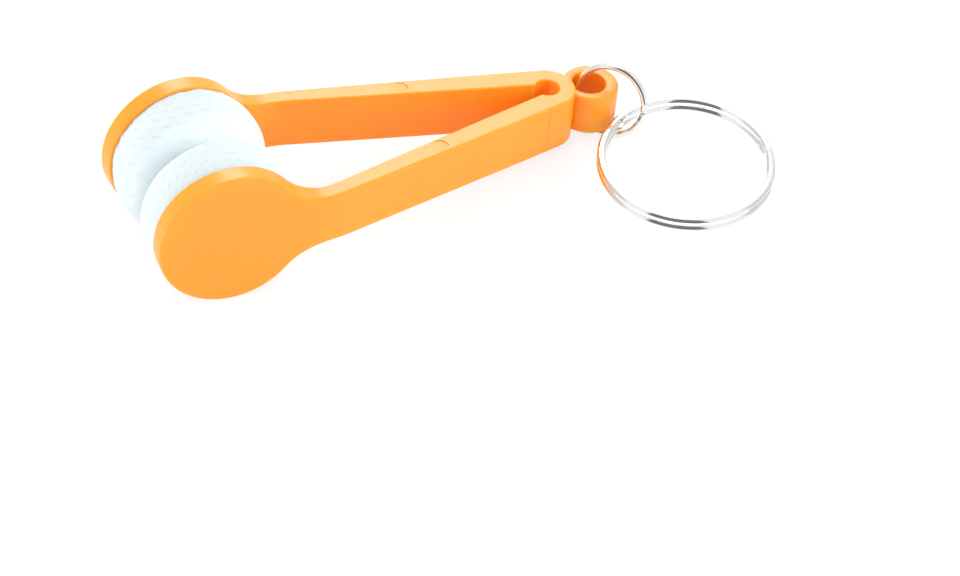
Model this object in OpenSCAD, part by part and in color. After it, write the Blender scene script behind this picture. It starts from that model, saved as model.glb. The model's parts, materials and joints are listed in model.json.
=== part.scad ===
// Spring tongs that wipe both sides of a spectacle lens between two soft pads,
// carried on a jump ring and a split key ring. Millimetres, standing on z = 0,
// with the pads at the -X end and the key ring at the +X end.

/* [Arms] */
// Height of an arm
arm_h = 8.1; // [6:0.1:11]
// Thickness of an arm at its bend
arm_tip_t = 2.4; // [1.6:0.1:3.2]
// Angle of each arm to the centre line
arm_angle = 12.5; // [10:0.5:18]
// Length of an arm from the bow's centre to its bend
arm_len = 40; // [30:1:60]
// Length over which an arm bends back
bend_len = 5; // [3:0.5:8]
// Distance from the bend to the centre of the paddle
neck_len = 14.5; // [14:0.5:20]
// Radius of the fillets between arm and paddle
neck_r = 8; // [5:0.5:10]
// Rounding of the moulded edges
edge_r = 0.5; // [0.2:0.05:0.9]

/* [Paddles] */
// Diameter of a paddle
paddle_d = 21.2; // [18:0.1:24]
// Thickness of a paddle
paddle_t = 2.8; // [1.8:0.1:3.2]
// Angle by which each paddle toes in to the centre line
toe_in = 2.8; // [1:0.1:6]

/* [Bow] */
// Outer diameter of the bow
bow_d = 8.2; // [7:0.1:10]
// Diameter of the relief hole in the bow
bow_hole_d = 3.5; // [2:0.1:4]
// Width of the slot between the arms at the bow
slot_w = 1.6; // [1:0.1:2.2]
// Radius about the bow's centre at which the arms begin
arm_start = 8; // [6.5:0.1:11]
// Clearance between an arm's hollow end and the bow's round end
arm_fit = 0.05; // [0.02:0.01:0.1]

/* [Key loop] */
// Diameter of the hole in the loop
loop_hole_d = 5; // [4:0.1:6]
// Outer diameter of the loop
loop_d = 8.2; // [7.6:0.1:10]
// Height of the loop
loop_h = 6.4; // [5:0.1:7.4]
// Thickness of the loop's outer end
loop_end_t = 1.9; // [1.2:0.1:2.4]
// Distance from the bow's outer face to the loop's hole
loop_land = 0.15; // [0.1:0.05:0.6]

/* [Pads] */
// Reach of a pad's swollen side past the paddle's round edge
pad_overhang = 0.3; // [-1:0.05:0.8]
// Distance of a pad's middle from the paddle's middle, towards the bow
pad_set_back = 0.15; // [0:0.05:1.5]
// Height of a pad above its paddle
pad_t = 7.6; // [5:0.1:8.5]
// Height of the swollen side above the paddle
pad_swell_h = 3.2; // [1.5:0.1:3.5]
// Amount by which the sides draw in at the foot of a pad
pad_draw_in = 0.65; // [0.3:0.05:1.2]
// Squareness of the pad's crown, from 2 for a round dome
pad_crown = 4; // [2:0.1:5]
// Thickness of the cloth cover
cloth_t = 0.8; // [0.4:0.05:1.5]
// Thickness of the adhesive film under a pad
glue_t = 0.25; // [0.1:0.05:0.5]
// Clearance between the foam and its cover
foam_gap = 0.05; // [0.02:0.01:0.2]

/* [Jump ring] */
// Diameter of the jump ring at the middle of its wire
jump_d = 10.5; // [9.6:0.1:12]
// Diameter of the jump ring's wire
jump_wire = 1; // [0.8:0.05:1.2]
// Width of the slit where the jump ring's ends meet
jump_slit = 0.15; // [0.05:0.05:0.4]
// Heading of the jump ring out of the loop
jump_yaw = -50; // [-80:1:-20]
// Angle by which the jump ring leans
jump_lean = 13.5; // [5:0.5:25]
// Offset of the jump ring's plane from the middle of the loop's hole
jump_side = -0.15; // [-0.9:0.05:0.3]

/* [Key ring] */
// Outer diameter of the split key ring
key_d = 25.7; // [22:0.1:32]
// Radial width of the key ring's flat wire
key_wire_w = 1.3; // [1:0.05:1.8]
// Thickness of the key ring's flat wire
key_wire_t = 0.85; // [0.6:0.05:1]
// Gap between the two turns of the key ring
key_turn_gap = 0.43; // [0.41:0.01:0.6]
// Angle over which the wire steps from one turn to the next
key_step_angle = 24; // [15:1:40]
// Angle left open between a wire end and the step
key_end_angle = 4; // [2:1:10]
// Place of the step round the key ring, from the side away from the link
key_step_at = 42; // [-120:1:120]
// Heading of the key ring from its link
key_yaw = -68; // [-85:1:-40]
// Angle on the jump ring at which the key ring hangs
link_angle = -47; // [-60:1:-25]
// Clearance between linked rings, and between a ring and the loop
link_gap = 0.25; // [0.15:0.05:0.5]

/* [Hidden] */
$fn = 64;

plastic = [1.0, 0.62, 0.24];
cloth_white = [0.95, 0.97, 0.97];
foam_grey = [0.82, 0.82, 0.80];
glue_clear = [0.90, 0.86, 0.72];
nickel = [0.76, 0.76, 0.74];

// Shape of an arm, from the bow's centre outwards
bow_r = bow_d / 2;
arm_root_t = bow_r - slot_w / 2;
arm_mid = (bow_r + slot_w / 2) / 2;
paddle_r = paddle_d / 2;
bend_from = arm_len - bend_len / 2;
bend_to = arm_len + bend_len / 2;
bend_turn = arm_angle + toe_in;
bend_r = bend_len * 180 / (PI * bend_turn);
paddle_at = arm_len + neck_len;
neck_z = arm_h / 2 + neck_r;
neck_u = sqrt((paddle_r + neck_r) ^ 2 - neck_z ^ 2);
neck_touch_u = paddle_r * neck_u / (paddle_r + neck_r);
// The last section of a paddle stops this far from its rim
tip_trim = 0.01;

// Directions along and across the +Y arm at a heading from the -X axis
function along(h) = [-cos(h), sin(h)];
function across(h) = [sin(h), cos(h)];
function heading(s) =
    s <= bend_from ? arm_angle
    : s >= bend_to ? -toe_in
    : arm_angle - bend_turn * (s - bend_from) / bend_len;
// Middle of the +Y arm in plan at the distance s from the bow
function arm_point(s) =
    s <= bend_from ? s * along(arm_angle) + arm_mid * across(arm_angle)
    : s <= bend_to ? arm_point(bend_from) + bend_r * (across(heading(s)) - across(arm_angle))
    : arm_point(bend_to) + (s - bend_to) * along(-toe_in);

// Half height of the outline at the distance u from the paddle's centre
function outline(u) =
    u < neck_touch_u ? sqrt(paddle_r ^ 2 - u ^ 2)
    : u < neck_u ? neck_z - sqrt(neck_r ^ 2 - (neck_u - u) ^ 2)
    : arm_h / 2;
// Distance of a point on the arm's side from its outline
function inset(u, z) =
    u < neck_touch_u ? paddle_r - norm([u, z])
    : u < neck_u ? norm([neck_u - u, neck_z - abs(z)]) - neck_r
    : arm_h / 2 - abs(z);
function thickness(s) =
    s < arm_start ? arm_root_t
    : s < arm_len ? arm_root_t + (arm_tip_t - arm_root_t) * (s - arm_start) / (arm_len - arm_start)
    : s < paddle_at - paddle_r
    ? arm_tip_t + (paddle_t - arm_tip_t) * (s - arm_len) / (neck_len - paddle_r)
    : paddle_t;
function half_thickness(s, d) =
    thickness(s) / 2 - edge_r + sqrt(edge_r ^ 2 - (edge_r - max(0, min(d, edge_r))) ^ 2);

// Distances from the bow at which the arm's sections lie
root_at = sqrt(arm_start ^ 2 - bow_r ^ 2) - 0.5;
bend_steps = 4;
neck_steps = 8;
rim_steps = 24;
sections = concat(
    [root_at, arm_start, bend_from],
    [for (i = [1:bend_steps]) bend_from + bend_len * i / bend_steps],
    [for (i = [1:neck_steps]) let (s = paddle_at - neck_u
        + (neck_u - neck_touch_u) * i / neck_steps) if (s > bend_to) s],
    [for (i = [1:rim_steps]) let (turn = acos(neck_touch_u / paddle_r))
        paddle_at - (paddle_r - tip_trim) * cos(turn + (180 - turn) * i / rim_steps)]
);
// Heights of a section's points, as shares of its half height
rise = [-1, -0.985, -0.94, -0.82, -0.5, 0, 0.5, 0.82, 0.94, 0.985, 1];

function section(s) =
    let (
        u = paddle_at - s,
        half_h = outline(u),
        mid = arm_point(s),
        side = across(heading(s)),
        outer = [for (r = rise) let (p = mid + half_thickness(s, inset(u, r * half_h)) * side)
            [p.x, p.y, r * half_h]],
        inner = [for (r = rise) let (p = mid - half_thickness(s, inset(u, r * half_h)) * side)
            [p.x, p.y, r * half_h]]
    )
    concat(outer, [for (i = [len(rise) - 1:-1:0]) inner[i]]);

// Solid through a list of rings of points, closed by strips across each end ring
module loft(rings) {
    n = len(rings[0]);
    last = (len(rings) - 1) * n;
    walls = [for (k = [0:len(rings) - 2]) for (i = [0:n - 1])
        let (a = k * n + i, b = k * n + (i + 1) % n)
        each [[a, b, b + n], [a, b + n, a + n]]];
    strips = [for (i = [0:n / 2 - 2]) let (j = n - 1 - i)
        each [[i, j, j - 1], [i, j - 1, i + 1]]];
    ends = [for (t = strips) each [t, [for (v = [2:-1:0]) last + t[v]]]];
    polyhedron([for (r = rings) each r], concat(walls, ends));
}

// The bow's limbs go on from the arms and meet round the bow's centre
bow_steps = 20;
function bow_section(a) =
    let (
        outer = [for (r = rise) let (q = arm_mid + half_thickness(0, (1 - abs(r)) * arm_h / 2))
            [q * cos(a), q * sin(a), r * arm_h / 2]],
        inner = [for (r = rise) let (q = arm_mid - half_thickness(0, (1 - abs(r)) * arm_h / 2))
            [q * cos(a), q * sin(a), r * arm_h / 2]]
    )
    concat(outer, [for (i = [len(rise) - 1:-1:0]) inner[i]]);
bow_rings = concat(
    [[for (v = section(arm_start)) [v.x, -v.y, v.z]]],
    [for (i = [0:bow_steps]) bow_section((90 - arm_angle) * (2 * i / bow_steps - 1))],
    [section(arm_start)]
);

// Key loop
loop_hole_r = loop_hole_d / 2;
loop_x = bow_r + loop_land + loop_hole_r;
loop_mid_x = loop_x + loop_hole_r + loop_end_t - loop_d / 2;
cut_over = 1;

// Pads, as half profiles of radius and height
pad_r = paddle_r + pad_overhang;
pad_steps = 14;
foot_steps = 4;
function pad_profile(shrink, foot) = concat(
    [for (i = [0:foot_steps - 1]) let (z = foot + (pad_swell_h - foot) * i / foot_steps)
        [pad_r - shrink - pad_draw_in * (1 - z / pad_swell_h) ^ 2, z]],
    [for (i = [0:pad_steps]) let (a = 90 * i / pad_steps)
        [(pad_r - shrink) * cos(a) ^ (2 / pad_crown),
         pad_swell_h + (pad_t - shrink - pad_swell_h) * sin(a) ^ (2 / pad_crown)]]
);
foam = pad_profile(cloth_t + foam_gap, glue_t);
glue_r = pad_profile(cloth_t + foam_gap, 0)[0].x;

// Jump ring, as its place in the loop's hole
jump_r = jump_d / 2;
jump_in = jump_r - jump_wire / 2;
loop_rise = loop_h / 2 / cos(jump_lean);
wire_aside = loop_rise / 2 * sin(jump_lean) - jump_side * cos(jump_lean);
wire_back = sqrt((loop_hole_r - jump_wire / 2 - link_gap) ^ 2 - wire_aside ^ 2);
loop_corner = sqrt(loop_hole_r ^ 2 - (loop_rise * sin(jump_lean)) ^ 2);
jump_up = sqrt((jump_in - link_gap) ^ 2 - (jump_r - wire_back - loop_corner) ^ 2) - loop_rise;
jump_out = sqrt(jump_r ^ 2 - jump_up ^ 2) - wire_back;
jump_e = [cos(jump_yaw), sin(jump_yaw), 0];
jump_w = [-sin(jump_yaw), cos(jump_yaw), 0];
jump_v = [0, 0, cos(jump_lean)] + sin(jump_lean) * jump_w;
jump_n = [0, 0, sin(jump_lean)] - cos(jump_lean) * jump_w;
jump_mid = [loop_x, 0, 0] + jump_out * jump_e + jump_up * jump_v + jump_side * jump_n;

// The tongs rest on both pads' swollen sides, or on the paddle rims where these reach lower,
// and on the jump ring under the loop
paddle_mid = arm_point(paddle_at);
rest_r = max(paddle_r, pad_r);
rest_x = paddle_mid.x + (pad_r > paddle_r ? pad_set_back * cos(toe_in) : 0);
function pitched(v, p) = [v.x * cos(p) + v.z * sin(p), v.y, v.z * cos(p) - v.x * sin(p)];
function ring_low(p) = pitched(jump_mid, p).z
    - jump_r * sqrt(1 - pitched(jump_n, p).z ^ 2) - jump_wire / 2;
function resting(p, rounds) = rounds < 1 ? p
    : resting(asin((rest_r + ring_low(p)) / -rest_x), rounds - 1);
settle_rounds = 6;
rest_pitch = resting(0, settle_rounds);
rest_lift = rest_r + rest_x * sin(rest_pitch);
function at_rest(v) = pitched(v, rest_pitch) + [0, 0, rest_lift];
function turned(v) = pitched(v, rest_pitch);

// Key ring, hung on the jump ring and lying on the surface
key_r = key_d / 2 - key_wire_w / 2;
key_pitch = key_wire_t + key_turn_gap;
key_h = key_pitch + key_wire_t;
key_corner = jump_in - link_gap;
link_point = at_rest(jump_mid
    + (key_corner * cos(link_angle) - key_wire_w / 2) * jump_e
    + (key_corner * sin(link_angle) + key_h / 2) * jump_v);
key_tilt = asin((link_point.z - key_h / 2) / (key_r + key_d / 2));
link_axis = [-sin(key_yaw), cos(key_yaw), 0];
key_dir = [cos(key_yaw) * cos(key_tilt), sin(key_yaw) * cos(key_tilt), -sin(key_tilt)];
key_mid = link_point + key_r * key_dir;

// The wire's path: one turn, a step up, and a second turn
key_sweep = 720 - key_step_angle - 2 * key_end_angle;
key_from = key_step_angle / 2 + key_end_angle;
key_rings = 96;
function step_share(a) =
    let (x = max(0, min(1, (a - 360 + key_step_angle / 2) / key_step_angle)))
    x * x * (3 - 2 * x);
function key_level(a) = key_pitch * (step_share(a) - 0.5);
key_path = [for (i = [0:key_rings]) let (a = key_from + key_sweep * i / key_rings)
    [key_r * cos(a), key_r * sin(a), key_level(a)]];
key_chamfer = 0.25;
key_profile = let (w = key_wire_w / 2, t = key_wire_t / 2, c = key_chamfer)
    [[w, -t + c], [w, t - c], [w - c, t], [c - w, t], [-w, t - c], [-w, c - t], [c - w, -t], [w - c, -t]];
// Least distance between the turns, on points at least a third of a turn apart
key_least = min([for (i = [0:key_rings]) for (j = [i + round(key_rings / 6):key_rings])
    if (j <= key_rings) norm(key_path[i] - key_path[j])]) - key_wire_t;
echo(key_ring_least_gap = key_least);

// Centre of the whole object in plan
rim_reach = paddle_r * sqrt((cos(toe_in) * cos(rest_pitch)) ^ 2 + sin(rest_pitch) ^ 2);
x_low = turned([paddle_mid.x, 0, 0]).x - rim_reach;
x_high = key_mid.x + key_d / 2;
y_low = key_mid.y - key_d / 2;
y_high = max([for (s = [bend_from:0.5:paddle_at]) (arm_point(s) + thickness(s) / 2 * across(heading(s))).y]);
plan_mid = [(x_low + x_high) / 2, (y_low + y_high) / 2, 0];

function placed(v) = at_rest(v) - plan_mid;
echo(hinge_point = placed([0, 0, 0]), hinge_axis = turned([0, 0, 1]));
echo(loop_point = placed([loop_x, 0, 0]));
echo(jump_ring_middle = placed(jump_mid));
echo(link_point = link_point - plan_mid, link_axis = link_axis);
echo(key_ring_middle = key_mid - plan_mid, key_axis = [
    cos(key_yaw) * sin(key_tilt), sin(key_yaw) * sin(key_tilt), cos(key_tilt)]);
echo(paddle_face = [for (side = [1, -1]) placed([
    for (v = [paddle_mid + paddle_t / 2 * across(-toe_in)]) each [v.x, side * v.y, 0]])]);
echo(paddle_normal = [for (side = [1, -1]) turned([across(-toe_in).x, side * across(-toe_in).y, 0])]);
echo(rest_pitch = rest_pitch, key_tilt = key_tilt);

// Placing
module rest() {
    translate([-plan_mid.x, -plan_mid.y, rest_lift])
        rotate([0, rest_pitch, 0])
            children();
}

module on_side(side) {
    mirror([0, side < 0 ? 1 : 0, 0]) children();
}

// Seat of a pad, with z away from the paddle's inner face
module on_paddle() {
    seat = paddle_mid - paddle_t / 2 * across(-toe_in);
    translate([seat.x, seat.y, 0])
        rotate([90, 0, toe_in])
            translate([pad_set_back, 0, 0])
                children();
}

// Moulded tongs
module loop_body() {
    translate([loop_mid_x, 0, 0])
        rotate_extrude()
            difference() {
                translate([0, -loop_h / 2]) square([loop_d / 2, loop_h]);
                for (z = [1, -1])
                    translate([loop_d / 2 - edge_r, z * (loop_h / 2 - edge_r)])
                        difference() {
                            translate([0, z > 0 ? 0 : -cut_over]) square([cut_over, cut_over]);
                            circle(edge_r);
                        }
            }
}

module spring_bow() {
    color(plastic)
        rest()
            difference() {
                union() {
                    intersection() {
                        loft(bow_rings);
                        cylinder(h = arm_h + 2 * cut_over, r = arm_start, center = true);
                    }
                    loop_body();
                }
                cylinder(h = arm_h + 2 * cut_over, d = bow_hole_d, center = true);
                translate([loop_x, 0, 0])
                    cylinder(h = arm_h + 2 * cut_over, d = loop_hole_d, center = true);
            }
}

module arm(side) {
    color(plastic)
        rest()
            on_side(side)
                difference() {
                    loft([for (s = sections) section(s)]);
                    cylinder(h = arm_h + 2 * cut_over, r = arm_start + arm_fit, center = true);
                }
}
module left_arm() { arm(1); }
module right_arm() { arm(-1); }

// Pads
module pad_adhesive(side) {
    color(glue_clear)
        rest() on_side(side) on_paddle()
            cylinder(h = glue_t, r = glue_r);
}
module left_pad_adhesive() { pad_adhesive(1); }
module right_pad_adhesive() { pad_adhesive(-1); }

module pad_foam(side) {
    color(foam_grey)
        rest() on_side(side) on_paddle()
            rotate_extrude()
                polygon(concat([[0, glue_t]], foam));
}
module left_pad_foam() { pad_foam(1); }
module right_pad_foam() { pad_foam(-1); }

module pad_cover(side) {
    inner = pad_profile(cloth_t, 0);
    color(cloth_white)
        rest() on_side(side) on_paddle()
            rotate_extrude()
                polygon(concat(pad_profile(0, 0), [for (i = [len(inner) - 1:-1:0]) inner[i]]));
}
module left_pad_cover() { pad_cover(1); }
module right_pad_cover() { pad_cover(-1); }

// Rings
module jump_ring() {
    slit_angle = jump_slit * 180 / (PI * jump_r);
    color(nickel)
        rest()
            translate([loop_x, 0, 0])
                rotate([0, 0, jump_yaw])
                    rotate([90 - jump_lean, 0, 0])
                        translate([jump_out, jump_up, jump_side])
                            rotate([0, 0, slit_angle / 2])
                                rotate_extrude(angle = 360 - slit_angle)
                                    translate([jump_r, 0])
                                        circle(d = jump_wire);
}

module key_ring() {
    color(nickel)
        translate(key_mid - plan_mid)
            rotate([0, 0, key_yaw])
                rotate([0, key_tilt, 0])
                    rotate([0, 0, key_step_at])
                        loft([for (i = [0:key_rings])
                            let (a = key_from + key_sweep * i / key_rings)
                            [for (q = key_profile) [
                                (key_r + q.x) * cos(a), (key_r + q.x) * sin(a), key_level(a) + q.y]]]);
}

spring_bow();
left_arm();
right_arm();
left_pad_adhesive();
right_pad_adhesive();
left_pad_foam();
right_pad_foam();
left_pad_cover();
right_pad_cover();
jump_ring();
key_ring();
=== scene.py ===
import bpy
import bmesh
import json
from math import acos, atan2, ceil, cos, floor, hypot, pi, radians, sin, sqrt
from mathutils import Matrix, Vector, noise


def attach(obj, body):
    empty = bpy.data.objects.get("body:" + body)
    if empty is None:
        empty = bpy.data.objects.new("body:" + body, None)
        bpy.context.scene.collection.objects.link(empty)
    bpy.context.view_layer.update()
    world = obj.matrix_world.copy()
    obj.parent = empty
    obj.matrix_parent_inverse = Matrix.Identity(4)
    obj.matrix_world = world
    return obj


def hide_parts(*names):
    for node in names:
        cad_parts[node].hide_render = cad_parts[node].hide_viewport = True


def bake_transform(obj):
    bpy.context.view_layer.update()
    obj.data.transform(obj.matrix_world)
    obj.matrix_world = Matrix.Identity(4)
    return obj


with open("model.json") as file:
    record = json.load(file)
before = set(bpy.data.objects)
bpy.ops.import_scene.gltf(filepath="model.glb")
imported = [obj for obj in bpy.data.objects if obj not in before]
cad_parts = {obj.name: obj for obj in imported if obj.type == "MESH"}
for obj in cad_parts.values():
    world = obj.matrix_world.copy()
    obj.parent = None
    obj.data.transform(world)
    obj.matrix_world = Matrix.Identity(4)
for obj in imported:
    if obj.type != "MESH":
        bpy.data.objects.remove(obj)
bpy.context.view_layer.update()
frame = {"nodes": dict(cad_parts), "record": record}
joints = {j["name"]: j for j in frame["record"]["behaviour"]["joints"]}

# Sizes in millimetres, as in the part's source
ARM_H, ARM_TIP_T, ARM_ANGLE, ARM_LEN = 8.1, 2.4, radians(12.5), 40
BEND_LEN, NECK_LEN, NECK_R, EDGE_R = 5, 14.5, 8, 0.5
PADDLE_R, PADDLE_T, TOE_IN = 10.6, 2.8, radians(2.8)
BOW_R, BOW_HOLE_R, SLOT_W, ARM_START = 4.1, 1.75, 1.6, 8
LOOP_HOLE_R, LOOP_R, LOOP_H, LOOP_END_T, LOOP_LAND = 2.5, 4.1, 6.4, 1.9, 0.15
PAD_R, PAD_T, PAD_SWELL_H, PAD_DRAW_IN, PAD_CROWN, PAD_SET_BACK = 10.9, 7.6, 3.2, 0.65, 4, 0.15
CLOTH_T, GLUE_T, FOAM_GAP = 0.8, 0.25, 0.05
JUMP_R, JUMP_WIRE_R, JUMP_SLIT = 5.25, 0.5, 0.15
KEY_R, KEY_WIRE_W, KEY_WIRE_T, KEY_PITCH = 12.2, 1.3, 0.85, 1.28
KEY_STEP, KEY_END, KEY_STEP_AT = radians(24), radians(4), radians(42)

# Where the rings lie: the jump ring in the loop, the key ring through it and down on the surface
JUMP_MID, JUMP_YAW, JUMP_LEAN = Vector((27.1724, 5.81743, 5.4937)), radians(-50), radians(13.5)
KEY_MID, KEY_YAW, KEY_TILT = Vector((32.6541, -7.63931, 2.17138)), radians(-68), radians(4.93924)

# Shape of an arm along its length
ROOT_T = BOW_R - SLOT_W / 2
ROOT_MID = (BOW_R + SLOT_W / 2) / 2
BEND_FROM, BEND_TO = ARM_LEN - BEND_LEN / 2, ARM_LEN + BEND_LEN / 2
BEND_TURN = ARM_ANGLE + TOE_IN
PADDLE_AT = ARM_LEN + NECK_LEN
NECK_Z = ARM_H / 2 + NECK_R
NECK_U = sqrt((PADDLE_R + NECK_R) ** 2 - NECK_Z ** 2)
TOUCH_U = PADDLE_R * NECK_U / (PADDLE_R + NECK_R)
# Where the drawn arm takes over from the drawn bow, and where its bending ends, on the straight limb
SEAM_AT, BLEND_TO = 2.6, 20

# Detail of the scene alone, in millimetres
PIN_AT, PIN_R, PIN_SINK, PIN_TILT = 21.1, 1.2, 0.08, radians(-3)
HOLE_EDGE_R, JUMP_END_R, KEY_END_R = 0.2, 0.06, 0.12
KEY_CHAMFER, KEY_CHAMFER_R = 0.34, 0.05
STITCH_ROW, STITCH_STEP, STITCH_LEN, STITCH_W, STITCH_FADE = 1.35, 2.6, 1.35, 0.17, 0.25
STITCH_DENT, CLOTH_NAP, CLOTH_WAVE, CLOTH_RUCK, CLOTH_PULL = 0.05, 0.02, 0.10, 0.12, 0.10
RUCK_H, CLOTH_TUCK, FOAM_SLACK = 1.6, 0.9, 0.1
# Painted light: from a height, over a rise, the cloth's colour is lightened by a share, to lift the
# shade between the facing pads
CROWN_FROM, CROWN_RISE, PAINTED_LIGHT_SHARE = 5.4, 2.0, 0.6

# Fineness of the meshes: lengths in millimetres, the rest in steps
CLOTH_GRID, CLOTH_STEPS, FOAM_GRID, FOAM_STEPS = 0.17, 380, 0.6, 96
NECK_STEPS, PADDLE_STEPS, BEND_STEPS, BOW_STEPS, BOW_HOLE_STEPS = 14, 112, 16, 48, 56
LOOP_STEPS, PIN_STEPS, JUMP_SIDES, JUMP_STEPS, KEY_STEPS = 96, 64, 24, 144, 400
CUT_TOL, TINY, NEAR = 1e-5, 1e-4, 1e-3
# Edges sharper than the first stay crisp in the shading, and those sharper than the second are rounded
CREASE, SHARP = radians(35), 0.9

# The tongs lie tilted about the bow, on the pads' sides and over the jump ring
bow_joint = joints["left_arm_bend"]
bow_centre = Vector(bow_joint["pos_m"])
bow_axis = Vector(bow_joint["axis"])
MM = Matrix.Scale(0.001, 4)
rock = Matrix.Rotation(atan2(bow_axis.x, bow_axis.z), 4, "Y")
lie = Matrix.Translation(bow_centre) @ rock @ MM
jump_place = (MM @ Matrix.Translation(JUMP_MID) @ rock @ Matrix.Rotation(JUMP_YAW, 4, "Z")
              @ Matrix.Rotation(pi / 2 - JUMP_LEAN, 4, "X"))
key_place = (MM @ Matrix.Translation(KEY_MID) @ Matrix.Rotation(KEY_YAW, 4, "Z")
             @ Matrix.Rotation(KEY_TILT, 4, "Y") @ Matrix.Rotation(KEY_STEP_AT, 4, "Z"))


def along(h):
    return Vector((-cos(h), sin(h), 0))


def across(h):
    return Vector((sin(h), cos(h), 0))


def heading(s):
    if s <= BEND_FROM:
        return ARM_ANGLE
    if s >= BEND_TO:
        return -TOE_IN
    return ARM_ANGLE - BEND_TURN * (s - BEND_FROM) / BEND_LEN


def arm_point(s):
    if s <= BEND_FROM:
        return along(ARM_ANGLE) * s + across(ARM_ANGLE) * ROOT_MID
    if s <= BEND_TO:
        bend_r = BEND_LEN / BEND_TURN
        return arm_point(BEND_FROM) + (across(heading(s)) - across(ARM_ANGLE)) * bend_r
    return arm_point(BEND_TO) + along(-TOE_IN) * (s - BEND_TO)


def arm_thickness(s):
    if s < ARM_START:
        return ROOT_T
    if s < ARM_LEN:
        return ROOT_T + (ARM_TIP_T - ROOT_T) * (s - ARM_START) / (ARM_LEN - ARM_START)
    return ARM_TIP_T + (PADDLE_T - ARM_TIP_T) * min(1, (s - ARM_LEN) / (NECK_LEN - PADDLE_R))


def clamp(x):
    return min(1, max(0, x))


def ease(x):
    return x * x * (3 - 2 * x)


def side_name(side):
    return "left" if side > 0 else "right"


# Drawing and shaping


def draw_to(bm, v, point):
    w = bmesh.ops.extrude_vert_indiv(bm, verts=[v])["verts"][0]
    w.co = point
    return w


def draw_arc(bm, v, centre, axis, angle, steps):
    made = bmesh.ops.spin(bm, geom=[v], cent=centre, axis=axis, angle=angle, steps=steps)
    return next(g for g in made["geom_last"] if isinstance(g, bmesh.types.BMVert))


def close_outline(bm, first, last):
    bm.edges.new((last, first))
    bmesh.ops.contextual_create(bm, geom=bm.edges[:])


def face_outward(bm):
    bmesh.ops.recalc_face_normals(bm, faces=bm.faces[:])


def raise_face(bm, step):
    made = bmesh.ops.extrude_face_region(bm, geom=bm.faces[:])
    tops = [g for g in made["geom"] if isinstance(g, bmesh.types.BMVert)]
    bmesh.ops.translate(bm, verts=tops, vec=step)
    face_outward(bm)


def round_edges(bm, edges, radius, segments=5):
    bmesh.ops.bevel(bm, geom=edges, offset=radius, offset_type="OFFSET", segments=segments,
                    profile=0.5, affect="EDGES", clamp_overlap=True, material=-1)


def sharp_edges(bm, keep):
    return [e for e in bm.edges
            if len(e.link_faces) == 2 and e.calc_face_angle() > SHARP and keep(e)]


def wire_ends(bm):
    """Edges round the two end faces of a wire, the only faces with more than four corners."""
    return [e for e in bm.edges if any(len(f.verts) > 4 for f in e.link_faces)]


def is_level(edge):
    return abs(edge.verts[0].co.z - edge.verts[1].co.z) < TINY


def make_piece(bm, name, material, place=lie):
    bmesh.ops.transform(bm, matrix=place, verts=bm.verts[:])
    if place.determinant() < 0:
        bmesh.ops.reverse_faces(bm, faces=bm.faces[:])
    for edge in bm.edges:
        edge.smooth = len(edge.link_faces) == 2 and edge.calc_face_angle() < CREASE
    for face in bm.faces:
        face.smooth = True
    mesh = bpy.data.meshes.new(name)
    bm.to_mesh(mesh)
    bm.free()
    piece = bpy.data.objects.new(name, mesh)
    bpy.context.scene.collection.objects.link(piece)
    mesh.materials.append(material)
    return piece


def join_solids(first, second, operation):
    """The first bmesh joined with or cut by the second."""
    shapes = []
    for i, bm in enumerate((first, second)):
        mesh = bpy.data.meshes.new(f"blank_{i}")
        bm.to_mesh(mesh)
        bm.free()
        shape = bpy.data.objects.new(f"blank_{i}", mesh)
        bpy.context.scene.collection.objects.link(shape)
        shapes.append(shape)
    cut = shapes[0].modifiers.new("join", "BOOLEAN")
    cut.operation, cut.solver, cut.object = operation, "EXACT", shapes[1]
    graph = bpy.context.evaluated_depsgraph_get()
    result = bmesh.new()
    result.from_mesh(shapes[0].evaluated_get(graph).to_mesh())
    for shape in shapes:
        mesh = shape.data
        bpy.data.objects.remove(shape)
        bpy.data.meshes.remove(mesh)
    bmesh.ops.remove_doubles(result, verts=result.verts[:], dist=NEAR)
    return result


def even_normals(piece):
    even = piece.modifiers.new("even_normals", "WEIGHTED_NORMAL")
    even.mode, even.weight, even.keep_sharp = "FACE_AREA_WITH_ANGLE", 80, True


# Nodes for the finishes and the studio


def new_finish(name):
    material = bpy.data.materials.new(name)
    material.use_nodes = True
    nodes, links = material.node_tree.nodes, material.node_tree.links
    return material, nodes, links, nodes["Principled BSDF"]


def set_sockets(node, **values):
    for key, value in values.items():
        node.inputs[key.replace("_", " ")].default_value = value


def feed(links, socket, value):
    """Gives a socket another node's output, or a plain value."""
    if isinstance(value, bpy.types.NodeSocket):
        links.new(value, socket)
    else:
        socket.default_value = value


def add_noise(nodes, links, coords, scale, detail=3.0, rough=0.55):
    tex = nodes.new("ShaderNodeTexNoise")
    set_sockets(tex, Scale=scale, Detail=detail, Roughness=rough)
    links.new(coords, tex.inputs["Vector"])
    return tex.outputs["Fac"]


def add_range(nodes, links, value, low, high, from_low=0.3, from_high=0.7):
    span = nodes.new("ShaderNodeMapRange")
    set_sockets(span, From_Min=from_low, From_Max=from_high, To_Min=low, To_Max=high)
    links.new(value, span.inputs["Value"])
    return span.outputs["Result"]


def add_soft_step(nodes, links, value, low, high):
    step = nodes.new("ShaderNodeMapRange")
    step.interpolation_type = "SMOOTHSTEP"
    set_sockets(step, From_Min=low, From_Max=high)
    links.new(value, step.inputs["Value"])
    return step.outputs["Result"]


def add_mix(nodes, links, factor, a, b):
    mix = nodes.new("ShaderNodeMix")
    mix.data_type = "RGBA"
    links.new(factor, mix.inputs["Factor"])
    for socket, colour in ((mix.inputs["A"], a), (mix.inputs["B"], b)):
        feed(links, socket, (*colour, 1) if isinstance(colour, tuple) else colour)
    return mix.outputs["Result"]


def add_math(nodes, links, operation, a, b):
    node = nodes.new("ShaderNodeMath")
    node.operation = operation
    for socket, value in zip(node.inputs, (a, b)):
        feed(links, socket, value)
    return node.outputs["Value"]


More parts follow.
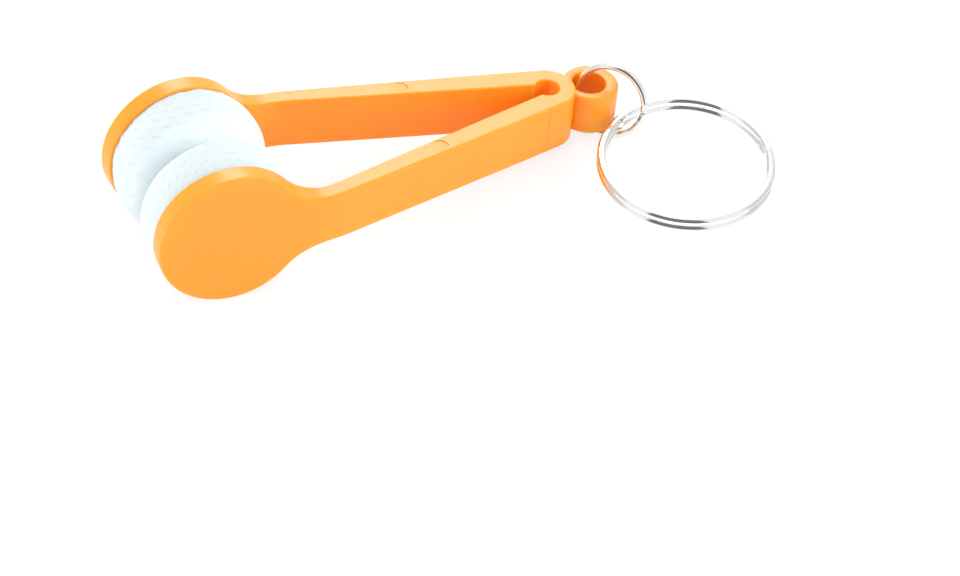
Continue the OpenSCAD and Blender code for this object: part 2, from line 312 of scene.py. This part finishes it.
def add_vector(nodes, links, operation, a, b=None):
    node = nodes.new("ShaderNodeVectorMath")
    node.operation = operation
    links.new(a, node.inputs[0])
    if b:
        node.inputs[1].default_value = b
    return node.outputs["Value" if operation == "DOT_PRODUCT" else "Vector"]


def add_bump(nodes, links, height, strength, distance, normal=None):
    bump = nodes.new("ShaderNodeBump")
    set_sockets(bump, Strength=strength, Distance=distance)
    links.new(height, bump.inputs["Height"])
    if normal:
        links.new(normal, bump.inputs["Normal"])
    return bump.outputs["Normal"]


def add_attribute(nodes, name):
    attribute = nodes.new("ShaderNodeAttribute")
    attribute.attribute_name = name
    return attribute.outputs["Fac"]


def add_uv(nodes, name):
    uv = nodes.new("ShaderNodeUVMap")
    uv.uv_map = name
    return uv.outputs["UV"]


# Finishes


def orange_plastic():
    material, nodes, links, shader = new_finish("orange_moulded_plastic")
    where = nodes.new("ShaderNodeTexCoord").outputs["Object"]
    drift = add_range(nodes, links, add_noise(nodes, links, where, 70, 2), 0, 1)
    tone = add_mix(nodes, links, drift, (1.0, 0.345, 0.020), (1.0, 0.325, 0.016))
    links.new(tone, shader.inputs["Base Color"])
    scuffs = add_noise(nodes, links, where, 900, 4, 0.6)
    links.new(add_range(nodes, links, scuffs, 0.30, 0.38), shader.inputs["Roughness"])
    grain = add_noise(nodes, links, where, 5200, 2)
    links.new(add_bump(nodes, links, grain, 0.12, 0.00004), shader.inputs["Normal"])
    set_sockets(shader, Subsurface_Weight=0.45, Subsurface_Scale=0.003,
                Subsurface_Radius=(1.0, 0.45, 0.12), IOR=1.5)
    return material


def knitted_cloth():
    """White knit, with painted shade in its stitches and painted light on the crown, against the shade
    where the pads face each other.
    """
    material, nodes, links, shader = new_finish("white_knitted_cloth")
    uv = add_uv(nodes, "cloth")
    fuzz = add_noise(nodes, links, uv, 2600, 4, 0.7)
    tone = add_mix(nodes, links, add_range(nodes, links, fuzz, 0, 1),
                   (0.622, 0.688, 0.713), (0.656, 0.722, 0.747))
    # Painted shade: the colour goes darker in the stitches, where shade falls in their dents
    tone = add_mix(nodes, links, add_attribute(nodes, "stitch"), tone, (0.555, 0.632, 0.647))
    # Painted light: a lighter colour on the crown, to lift the shade where the two pads face each
    # other
    tone = add_mix(nodes, links, add_attribute(nodes, "crown_painted_light"), tone, (0.89, 0.96, 0.97))
    links.new(tone, shader.inputs["Base Color"])
    ribs = []
    for direction in ("X", "Y"):
        wave = nodes.new("ShaderNodeTexWave")
        wave.bands_direction = direction
        set_sockets(wave, Scale=520.0, Distortion=1.6, Detail=2.0, Detail_Scale=1.5)
        links.new(uv, wave.inputs["Vector"])
        ribs.append(wave.outputs["Fac"])
    weave = add_math(nodes, links, "MULTIPLY", *ribs)
    normal = add_bump(nodes, links, weave, 0.5, 0.00006)
    links.new(add_bump(nodes, links, fuzz, 0.35, 0.00008, normal), shader.inputs["Normal"])
    set_sockets(shader, Roughness=0.95, Sheen_Weight=0.12, Sheen_Roughness=0.5,
                Specular_IOR_Level=0.2, Subsurface_Weight=0.5, Subsurface_Scale=0.003,
                Subsurface_Radius=(1.0, 1.0, 1.0))
    return material


def soft_foam():
    material, nodes, links, shader = new_finish("grey_soft_foam")
    where = nodes.new("ShaderNodeTexCoord").outputs["Object"]
    cells = nodes.new("ShaderNodeTexVoronoi")
    set_sockets(cells, Scale=1900)
    links.new(where, cells.inputs["Vector"])
    wall = cells.outputs["Distance"]
    tone = add_mix(nodes, links, wall, (0.42, 0.42, 0.40), (0.66, 0.66, 0.63))
    links.new(tone, shader.inputs["Base Color"])
    links.new(add_bump(nodes, links, wall, 0.6, 0.0002), shader.inputs["Normal"])
    set_sockets(shader, Roughness=0.95, Specular_IOR_Level=0.2)
    return material


def adhesive_film():
    material, nodes, links, shader = new_finish("clear_adhesive_film")
    where = nodes.new("ShaderNodeTexCoord").outputs["Object"]
    smear = add_range(nodes, links, add_noise(nodes, links, where, 700, 3), 0, 1)
    tone = add_mix(nodes, links, smear, (0.70, 0.66, 0.48), (0.80, 0.77, 0.62))
    links.new(tone, shader.inputs["Base Color"])
    links.new(add_range(nodes, links, smear, 0.35, 0.6, 0, 1), shader.inputs["Roughness"])
    return material


def nickel_wire():
    material, nodes, links, shader = new_finish("bright_nickel_wire")
    stretch = nodes.new("ShaderNodeMapping")
    set_sockets(stretch, Scale=(40, 2200, 1))
    links.new(add_uv(nodes, "wire"), stretch.inputs["Vector"])
    draws = add_noise(nodes, links, stretch.outputs["Vector"], 1.0, 3, 0.6)
    links.new(add_range(nodes, links, draws, 0.06, 0.13), shader.inputs["Roughness"])
    where = nodes.new("ShaderNodeTexCoord").outputs["Object"]
    tarnish = add_range(nodes, links, add_noise(nodes, links, where, 420, 3), 0, 1)
    tone = add_mix(nodes, links, tarnish, (0.90, 0.892, 0.875), (0.85, 0.842, 0.82))
    links.new(tone, shader.inputs["Base Color"])
    links.new(add_bump(nodes, links, draws, 0.03, 0.00002), shader.inputs["Normal"])
    set_sockets(shader, Metallic=1.0)
    return material


plastic = orange_plastic()
cloth = knitted_cloth()
foam = soft_foam()
film = adhesive_film()
nickel = nickel_wire()

# Arms: a flat blank with its paddle, rounded, then bent


def arm_blank():
    bm = bmesh.new()
    neck_at = PADDLE_AT - NECK_U
    neck_turn = atan2(NECK_U, NECK_Z)
    rim_turn = 2 * pi - 2 * acos(TOUCH_U / PADDLE_R)
    y = (0, 1, 0)
    first = bm.verts.new((SEAM_AT, 0, ARM_H / 2))
    v = draw_to(bm, first, (neck_at, 0, ARM_H / 2))
    v = draw_arc(bm, v, (neck_at, 0, NECK_Z), y, -neck_turn, NECK_STEPS)
    v = draw_arc(bm, v, (PADDLE_AT, 0, 0), y, rim_turn, PADDLE_STEPS)
    v = draw_arc(bm, v, (neck_at, 0, -NECK_Z), y, -neck_turn, NECK_STEPS)
    v = draw_to(bm, v, (SEAM_AT, 0, -ARM_H / 2))
    close_outline(bm, first, v)
    cuts = [SEAM_AT + i for i in range(1, int(BEND_FROM - SEAM_AT))]
    cuts += [BEND_FROM + BEND_LEN * i / BEND_STEPS for i in range(BEND_STEPS + 1)]
    cuts += [PADDLE_AT - PADDLE_R]
    for s in cuts:
        bmesh.ops.bisect_plane(bm, geom=bm.verts[:] + bm.edges[:] + bm.faces[:], dist=CUT_TOL,
                               plane_co=(s, 0, 0), plane_no=(1, 0, 0))
    raise_face(bm, (0, 1, 0))
    for v in bm.verts:
        v.co.y = (v.co.y - 0.5) * arm_thickness(v.co.x)

    def off_seam(edge):
        return any(v.co.x >= SEAM_AT + TINY for v in edge.verts)

    round_edges(bm, sharp_edges(bm, off_seam), EDGE_R)
    return bm


def pin_mark():
    """Cutter for the shallow round mark of an ejector pin on an arm's top edge."""
    bm = bmesh.new()
    length = 2
    middle = (PIN_AT, 0, ARM_H / 2 + length / 2 - PIN_SINK)
    place = Matrix.Translation(middle) @ Matrix.Rotation(PIN_TILT, 4, "Y")
    bmesh.ops.create_cone(bm, cap_ends=True, segments=PIN_STEPS, radius1=PIN_R, radius2=PIN_R,
                          depth=length, matrix=place)
    return bm


def make_arm(side):
    bm = join_solids(arm_blank(), pin_mark(), "DIFFERENCE")
    for v in bm.verts:
        s, y, z = v.co
        p = arm_point(s) + across(heading(s)) * y
        v.co = (p.x, p.y * side, z)
    # The bent frame is left-handed, so the left arm's faces come out turned inward
    if side > 0:
        bmesh.ops.reverse_faces(bm, faces=bm.faces[:])
    name = f"{side_name(side)}_arm"
    arm = make_piece(bm, f"{name}_moulding", plastic)
    even_normals(arm)
    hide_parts(name)
    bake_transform(arm)


# Bow with its relief hole and slot, and the key loop behind it


def bow_blank():
    bm = bmesh.new()
    z = (0, 0, 1)
    low = Vector((0, 0, -ARM_H / 2))
    limb = along(ARM_ANGLE) * SEAM_AT
    outer_end = limb + across(ARM_ANGLE) * BOW_R + low
    inner_end = limb + across(ARM_ANGLE) * (SLOT_W / 2) + low
    outer_root = across(ARM_ANGLE) * BOW_R + low
    slot_run = sqrt(BOW_HOLE_R ** 2 - (SLOT_W / 2) ** 2)
    slot_mouth = along(ARM_ANGLE) * slot_run + across(ARM_ANGLE) * (SLOT_W / 2) + low

    def flip(p):
        return Vector((p.x, -p.y, p.z))

    def on_seam(v):
        return abs((Vector((v.co.x, abs(v.co.y), 0)) - limb).dot(along(ARM_ANGLE))) < NEAR

    first = bm.verts.new(outer_end)
    v = draw_to(bm, first, outer_root)
    v = draw_arc(bm, v, low, z, -(pi - 2 * ARM_ANGLE), BOW_STEPS)
    v = draw_to(bm, v, flip(outer_end))
    v = draw_to(bm, v, flip(inner_end))
    v = draw_to(bm, v, flip(slot_mouth))
    v = draw_arc(bm, v, low, z, 2 * atan2(slot_mouth.y, slot_mouth.x), BOW_HOLE_STEPS)
    v = draw_to(bm, v, inner_end)
    close_outline(bm, first, v)
    raise_face(bm, (0, 0, ARM_H))
    rims = sharp_edges(bm, lambda e: is_level(e) and not all(on_seam(v) for v in e.verts))
    round_edges(bm, rims, EDGE_R)
    return bm


def loop_blank():
    bm = bmesh.new()
    hole_x = BOW_R + LOOP_LAND + LOOP_HOLE_R
    mid_x = hole_x + LOOP_HOLE_R + LOOP_END_T - LOOP_R
    for x, r in ((mid_x, LOOP_R), (hole_x, LOOP_HOLE_R)):
        bmesh.ops.create_circle(bm, cap_ends=False, segments=LOOP_STEPS, radius=r,
                                matrix=Matrix.Translation((x, 0, -LOOP_H / 2)))
    bmesh.ops.bridge_loops(bm, edges=bm.edges[:])
    raise_face(bm, (0, 0, LOOP_H))

    def at_hole(edge):
        return (edge.verts[0].co.xy - Vector((hole_x, 0))).length < LOOP_HOLE_R + 10 * NEAR

    round_edges(bm, sharp_edges(bm, lambda e: is_level(e) and not at_hole(e)), EDGE_R)
    round_edges(bm, sharp_edges(bm, lambda e: is_level(e) and at_hole(e)), HOLE_EDGE_R, 3)
    return bm


def make_bow():
    bm = join_solids(bow_blank(), loop_blank(), "UNION")
    bow = make_piece(bm, "spring_bow_moulding", plastic)
    even_normals(bow)
    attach(bow, "bow")
    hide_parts("spring_bow")


# Pads: cloth drawn over a foam cushion, in the paddle's own frame


def pad_curve(shrink, foot, step):
    """Half profile from the crown's middle down to the foot, as points a step apart."""
    r, top = PAD_R - shrink, PAD_T - shrink
    crown_steps, foot_steps = 400, 60
    raw = []
    for i in range(crown_steps + 1):
        a = pi / 2 * (1 - i / crown_steps)
        raw.append((r * max(0, cos(a)) ** (2 / PAD_CROWN),
                    PAD_SWELL_H + (top - PAD_SWELL_H) * sin(a) ** (2 / PAD_CROWN)))
    for i in range(1, foot_steps + 1):
        z = PAD_SWELL_H + (foot - PAD_SWELL_H) * i / foot_steps
        raw.append((r - PAD_DRAW_IN * (1 - z / PAD_SWELL_H) ** 2, z))
    runs = [0.0]
    for (r0, z0), (r1, z1) in zip(raw, raw[1:]):
        runs.append(runs[-1] + hypot(r1 - r0, z1 - z0))
    points = []
    count = ceil(runs[-1] / step)
    j = 0
    for i in range(count + 1):
        want = runs[-1] * i / count
        while j < len(runs) - 2 and runs[j + 1] < want:
            j += 1
        t = (want - runs[j]) / (runs[j + 1] - runs[j])
        points.append((raw[j][0] + (raw[j + 1][0] - raw[j][0]) * t,
                       raw[j][1] + (raw[j + 1][1] - raw[j][1]) * t, want))
    return points


def stitch_depth(u, v):
    """Share of a stitch's dent at a place on the flat cloth: short dashes in staggered rows."""
    row = floor(v / STITCH_ROW)
    place = u / STITCH_STEP + 0.5 * (row % 2)
    cell = floor(place)
    shift = noise.cell(Vector((row + 0.5, cell + 0.5, 3.5)))
    left_out = noise.cell(Vector((row + 0.5, cell + 0.5, 9.5))) < -0.8
    if left_out:
        return 0.0
    du = abs((place - cell - 0.5 + 0.08 * shift) * STITCH_STEP)
    dv = abs(v - (row + 0.5) * STITCH_ROW - 0.06 * shift)
    ends = 1 - clamp((du - STITCH_LEN * (0.42 + 0.1 * shift)) / STITCH_FADE)
    sides = max(0, 1 - (dv / STITCH_W) ** 2)
    return ends * sides


def cloth_move(v, turn, dent, side):
    """How far a point of the cover leaves the plain profile: unevenness, nap, stitches and rucks."""
    around = Vector((cos(turn), sin(turn), 0))
    wave = noise.noise(v.co * 0.28 + Vector((0, 0, 5 * side)))
    nap = noise.noise(v.co * 4.1)
    ruck = noise.noise(around * 9 + Vector((0, 0, 0.7 + side)))
    pull = noise.noise(around * 30 + Vector((0, 0, 2.3 + side)))
    lift = CLOTH_WAVE * wave * min(1, v.co.z / 2) + CLOTH_NAP * nap - STITCH_DENT * dent
    foot = max(0, 1 - v.co.z / RUCK_H)
    outward = Vector((v.co.x, v.co.y, 0)).normalized()
    return v.normal * lift + outward * foot * (CLOTH_RUCK * ruck + CLOTH_PULL * pull)


def paddle_frame(side):
    """Places a pad's own frame, with z away from the paddle's inner face."""
    middle = arm_point(PADDLE_AT) - along(-TOE_IN) * PAD_SET_BACK
    seat = middle - across(-TOE_IN) * (PADDLE_T / 2)
    inward = (Matrix.Translation(seat) @ Matrix.Rotation(TOE_IN, 4, "Z")
              @ Matrix.Rotation(pi / 2, 4, "X"))
    return lie @ Matrix.Diagonal((1, side, 1, 1)) @ inward


def spun_pad(points, steps):
    """A pad turned from its half profile, open at the foot, with each point's run on the cloth."""
    bm = bmesh.new()
    run = bm.verts.layers.float.new("run")
    v = None
    for r, z, length in points:
        v = draw_to(bm, v, (r, 0, z)) if v else bm.verts.new((r, 0, z))
        v[run] = length
    bmesh.ops.spin(bm, geom=bm.verts[:] + bm.edges[:], cent=(0, 0, 0), axis=(0, 0, 1),
                   angle=2 * pi, steps=steps, use_merge=True)
    bmesh.ops.remove_doubles(bm, verts=bm.verts[:], dist=TINY)
    return bm, run


def make_pad_cover(side):
    bm, run = spun_pad(pad_curve(0, 0, CLOTH_GRID), CLOTH_STEPS)
    rim = [e for e in bm.edges if e.is_boundary]
    tuck = bmesh.ops.extrude_edge_only(bm, edges=rim)["geom"]
    tucked = [g for g in tuck if isinstance(g, bmesh.types.BMVert)]
    tuck_edges = [g for g in tuck if isinstance(g, bmesh.types.BMEdge)]
    bmesh.ops.scale(bm, vec=(CLOTH_TUCK, CLOTH_TUCK, 1), verts=tucked)
    bmesh.ops.holes_fill(bm, edges=tuck_edges, sides=0)
    face_outward(bm)
    bm.normal_update()
    under = set(tucked)
    uv = bm.loops.layers.uv.new("cloth")
    stitch = bm.verts.layers.float.new("stitch")
    crown_painted_light = bm.verts.layers.float.new("crown_painted_light")
    moves = []
    flat = {}
    for v in bm.verts:
        turn = atan2(v.co.y, v.co.x)
        u, w = v[run] * cos(turn), v[run] * sin(turn)
        flat[v] = (u * 0.001, w * 0.001)
        if v in under:
            continue
        # The stitch share dents the cloth and also darkens its colour there as painted shade
        v[stitch] = stitch_depth(u, w)
        # Painted light on the crown: a share rising with height, for the lighter colour against the
        # shade between the pads
        v[crown_painted_light] = PAINTED_LIGHT_SHARE * ease(clamp((v.co.z - CROWN_FROM) / CROWN_RISE))
        moves.append((v, cloth_move(v, turn, v[stitch], side)))
    for v, move in moves:
        v.co += move
    for face in bm.faces:
        for loop in face.loops:
            loop[uv].uv = flat[loop.vert]
    name = side_name(side)
    pad = make_piece(bm, f"{name}_pad_cloth", cloth, paddle_frame(side))
    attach(pad, f"{name}_arm")
    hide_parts(f"{name}_pad_cover")


def make_pad_foam(side):
    shrink = CLOTH_T + FOAM_GAP + FOAM_SLACK
    bm, _ = spun_pad(pad_curve(shrink, GLUE_T, FOAM_GRID), FOAM_STEPS)
    bmesh.ops.holes_fill(bm, edges=[e for e in bm.edges if e.is_boundary], sides=0)
    face_outward(bm)
    name = side_name(side)
    pad = make_piece(bm, f"{name}_pad_filling", foam, paddle_frame(side))
    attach(pad, f"{name}_arm")
    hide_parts(f"{name}_pad_foam")


# Rings


def wire_uv(bm, radius):
    """Maps a wire's length and girth, in metres, for its drawing marks."""
    uv = bm.loops.layers.uv.new("wire")
    girth_per_height = 1.7
    for face in bm.faces:
        turns = [atan2(loop.vert.co.y, loop.vert.co.x) for loop in face.loops]
        for loop, turn in zip(face.loops, turns):
            if turn - turns[0] > pi:
                turn -= 2 * pi
            elif turn - turns[0] < -pi:
                turn += 2 * pi
            c = loop.vert.co
            girth = hypot(c.x, c.y) - radius + girth_per_height * c.z
            loop[uv].uv = (turn * radius * 0.001, girth * 0.001)


def make_jump_ring():
    bm = bmesh.new()
    section = Matrix.Translation((JUMP_R, 0, 0)) @ Matrix.Rotation(pi / 2, 4, "X")
    made = bmesh.ops.create_circle(bm, cap_ends=True, segments=JUMP_SIDES, radius=JUMP_WIRE_R,
                                   matrix=section)
    slit = JUMP_SLIT / JUMP_R
    bmesh.ops.rotate(bm, verts=made["verts"], cent=(0, 0, 0),
                     matrix=Matrix.Rotation(slit / 2, 3, "Z"))
    bmesh.ops.spin(bm, geom=bm.faces[:], cent=(0, 0, 0), axis=(0, 0, 1), angle=2 * pi - slit,
                   steps=JUMP_STEPS)
    face_outward(bm)
    round_edges(bm, wire_ends(bm), JUMP_END_R, 2)
    wire_uv(bm, JUMP_R)
    ring = make_piece(bm, "jump_ring_wire", nickel, jump_place)
    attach(ring, "jump_ring")
    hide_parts("jump_ring")


def make_key_ring():
    bm = bmesh.new()
    section = (Matrix.Translation((KEY_R, 0, 0)) @ Matrix.Rotation(pi / 2, 4, "X")
               @ Matrix.Diagonal((KEY_WIRE_W, KEY_WIRE_T, 1, 1)))
    bmesh.ops.create_grid(bm, x_segments=1, y_segments=1, size=0.5)
    bmesh.ops.transform(bm, verts=bm.verts[:], matrix=section)
    for offset, segments in ((KEY_CHAMFER, 1), (KEY_CHAMFER_R, 2)):
        bmesh.ops.bevel(bm, geom=bm.verts[:], offset=offset, offset_type="OFFSET",
                        segments=segments, profile=0.5, affect="VERTICES", material=-1)
    begin = KEY_STEP / 2 + KEY_END
    sweep = 4 * pi - KEY_STEP - 2 * KEY_END
    # A very tall coil first, so that a point's height tells its place along the wire
    coil_h = 1000.0
    bmesh.ops.spin(bm, geom=bm.faces[:], cent=(0, 0, 0), axis=(0, 0, 1), angle=sweep,
                   steps=KEY_STEPS, dvec=(0, 0, coil_h / KEY_STEPS))
    for v in bm.verts:
        share = round(v.co.z * KEY_STEPS / coil_h) / KEY_STEPS
        a = begin + sweep * share
        t = clamp((a - 2 * pi + KEY_STEP / 2) / KEY_STEP)
        v.co.z += KEY_PITCH * (ease(t) - 0.5) - coil_h * share
    bmesh.ops.rotate(bm, verts=bm.verts[:], cent=(0, 0, 0), matrix=Matrix.Rotation(begin, 3, "Z"))
    face_outward(bm)
    round_edges(bm, wire_ends(bm), KEY_END_R, 3)
    wire_uv(bm, KEY_R)
    ring = make_piece(bm, "key_ring_wire", nickel, key_place)
    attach(ring, "key_ring")
    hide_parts("key_ring")


make_bow()
for side in (1, -1):
    make_arm(side)
    make_pad_cover(side)
    make_pad_foam(side)
for node in ("left_pad_adhesive", "right_pad_adhesive"):
    frame["nodes"][node].data.materials.clear()
    frame["nodes"][node].data.materials.append(film)
make_jump_ring()
make_key_ring()

# Camera at the photograph's angle: its turn, height, distance in metres and focal length in pixels
CAM_AZ, CAM_EL, CAM_FAR, CAM_F = radians(-25.842), radians(40.639), 0.5, 3463.2
PHOTO_W, PHOTO_H, SENSOR_W = 960, 576, 36
BOW_PX = Vector((544.76, 109.4))
back = Vector((sin(CAM_AZ) * cos(CAM_EL), -cos(CAM_AZ) * cos(CAM_EL), sin(CAM_EL)))
right = Vector((cos(CAM_AZ), sin(CAM_AZ), 0))
up = back.cross(right)
level_view = Matrix((right, up, back)).transposed()
aim = Vector((PHOTO_W / 2 - BOW_PX.x, BOW_PX.y - PHOTO_H / 2, -CAM_F))
aim_turn = Vector((0, 0, -1)).rotation_difference(aim).to_matrix()
camera = bpy.data.objects.new("camera", bpy.data.cameras.new("camera"))
camera.data.sensor_width = SENSOR_W
camera.data.lens = SENSOR_W * CAM_F / PHOTO_W
camera.data.clip_start = 0.01
camera.matrix_world = (Matrix.Translation(bow_centre + back * CAM_FAR)
                       @ (level_view @ aim_turn).to_4x4())
bpy.context.scene.collection.objects.link(camera)
bpy.context.scene.camera = camera

# White floor and soft studio light
FLOOR_HALF, FLOOR_DROP, FLOOR_GLOW, FLOOR_VEIL, PAPER_WHITE = 1.5, 0.0001, 0.74, 0.3, 0.85
FILL_LIGHT = 0.75
# Parts of the studio that the rings mirror darker: heading, spread, lowest and highest sine, grey
UNLIT = (((-0.850, 0.527), radians(23), 0.2, 0.66, 0.74),
         ((0.985, -0.170), radians(29), 0.0, 0.62, 0.76),
         ((-0.536, -0.844), radians(34.6), -0.5, 0.96, 0.2))
UNLIT_SOFT_TURN, UNLIT_SOFT_H = radians(4), 0.05


def white_for_looks(nodes, links):
    """1 for rays from the camera, from metal and through clear things."""
    path = nodes.new("ShaderNodeLightPath")
    total = path.outputs["Is Camera Ray"]
    for name in ("Is Glossy Ray", "Is Transmission Ray"):
        total = add_math(nodes, links, "MAXIMUM", total, path.outputs[name])
    return total


def pick_by_ray(nodes, links, lit, seen, out_type):
    """One shader for the light that falls on things, another for what is looked at."""
    pick = nodes.new("ShaderNodeMixShader")
    links.new(white_for_looks(nodes, links), pick.inputs["Fac"])
    links.new(lit.outputs[0], pick.inputs[1])
    links.new(seen.outputs[0], pick.inputs[2])
    out = nodes.new(out_type)
    links.new(pick.outputs[0], out.inputs["Surface"])


def floor_finish():
    """White to the eye with a soft shadow, and white paper to the light."""
    material = bpy.data.materials.new("white_floor")
    material.use_nodes = True
    nodes, links = material.node_tree.nodes, material.node_tree.links
    nodes.clear()
    glow = nodes.new("ShaderNodeEmission")
    set_sockets(glow, Strength=FLOOR_GLOW)
    veil = nodes.new("ShaderNodeBsdfDiffuse")
    set_sockets(veil, Color=(FLOOR_VEIL, FLOOR_VEIL, FLOOR_VEIL, 1))
    paper = nodes.new("ShaderNodeBsdfDiffuse")
    set_sockets(paper, Color=(PAPER_WHITE, PAPER_WHITE, PAPER_WHITE, 1))
    seen = nodes.new("ShaderNodeAddShader")
    links.new(glow.outputs[0], seen.inputs[0])
    links.new(veil.outputs[0], seen.inputs[1])
    pick_by_ray(nodes, links, paper, seen, "ShaderNodeOutputMaterial")
    return material


def make_floor():
    bm = bmesh.new()
    bmesh.ops.create_grid(bm, x_segments=1, y_segments=1, size=FLOOR_HALF)
    mesh = bpy.data.meshes.new("floor")
    bm.to_mesh(mesh)
    bm.free()
    mesh.materials.append(floor_finish())
    ground = bpy.data.objects.new("floor", mesh)
    ground.location.z = -FLOOR_DROP
    bpy.context.scene.collection.objects.link(ground)


def unlit_part(nodes, links, sky, height, towards, spread, low, high):
    """1 in a part of the studio: a spread about a heading, between two heights."""
    level = add_vector(nodes, links, "NORMALIZE",
                       add_vector(nodes, links, "MULTIPLY", sky, (1, 1, 0)))
    near = add_vector(nodes, links, "DOT_PRODUCT", level, (*towards, 0))
    wide = add_soft_step(nodes, links, near, cos(spread + UNLIT_SOFT_TURN),
                         cos(spread - UNLIT_SOFT_TURN))
    over = add_soft_step(nodes, links, height, low - UNLIT_SOFT_H, low + UNLIT_SOFT_H)
    past = add_soft_step(nodes, links, height, high - UNLIT_SOFT_H, high + UNLIT_SOFT_H)
    under = add_math(nodes, links, "SUBTRACT", 1, past)
    return add_math(nodes, links, "MULTIPLY", wide,
                    add_math(nodes, links, "MULTIPLY", over, under))


def make_world():
    world = bpy.data.worlds.new("studio")
    bpy.context.scene.world = world
    world.use_nodes = True
    nodes, links = world.node_tree.nodes, world.node_tree.links
    nodes.clear()
    sky = nodes.new("ShaderNodeTexCoord").outputs["Generated"]
    split = nodes.new("ShaderNodeSeparateXYZ")
    links.new(sky, split.inputs["Vector"])
    mirrored = nodes.new("ShaderNodeLightPath").outputs["Is Glossy Ray"]
    tone = (1, 1, 1)
    for towards, spread, low, high, grey in UNLIT:
        part = unlit_part(nodes, links, sky, split.outputs["Z"], towards, spread, low, high)
        shade = add_math(nodes, links, "MULTIPLY", part, mirrored)
        tone = add_mix(nodes, links, shade, tone, (grey, grey, grey))
    looks = nodes.new("ShaderNodeBackground")
    set_sockets(looks, Strength=1.0)
    links.new(tone, looks.inputs["Color"])
    fill = nodes.new("ShaderNodeBackground")
    set_sockets(fill, Strength=FILL_LIGHT)
    pick_by_ray(nodes, links, fill, looks, "ShaderNodeOutputWorld")


def add_softbox(name, place, size, power, mirrored=True):
    target = Vector((0.0, 0.0, 0.008))
    lamp = bpy.data.lights.new(name, "AREA")
    lamp.shape, lamp.size, lamp.energy = "DISK", size, power
    box = bpy.data.objects.new(name, lamp)
    box.location = place
    box.rotation_euler = (target - Vector(place)).to_track_quat("-Z", "Y").to_euler()
    box.visible_glossy = mirrored
    bpy.context.scene.collection.objects.link(box)


make_floor()
make_world()
add_softbox("top_softbox", (-0.05, 0.15, 0.75), 0.5, 0.5)
add_softbox("back_softbox", (0.30, 0.63, 0.57), 0.45, 3.2)
add_softbox("front_softbox", (0.62, -0.48, 0.25), 0.5, 4.2, mirrored=False)
add_softbox("high_softbox", (-0.20, -0.45, 0.75), 0.5, 1.4, mirrored=False)
add_softbox("side_softbox", (-0.72, 0.05, 0.22), 0.5, 3.1, mirrored=False)

bpy.context.scene.view_settings.view_transform = "Standard"
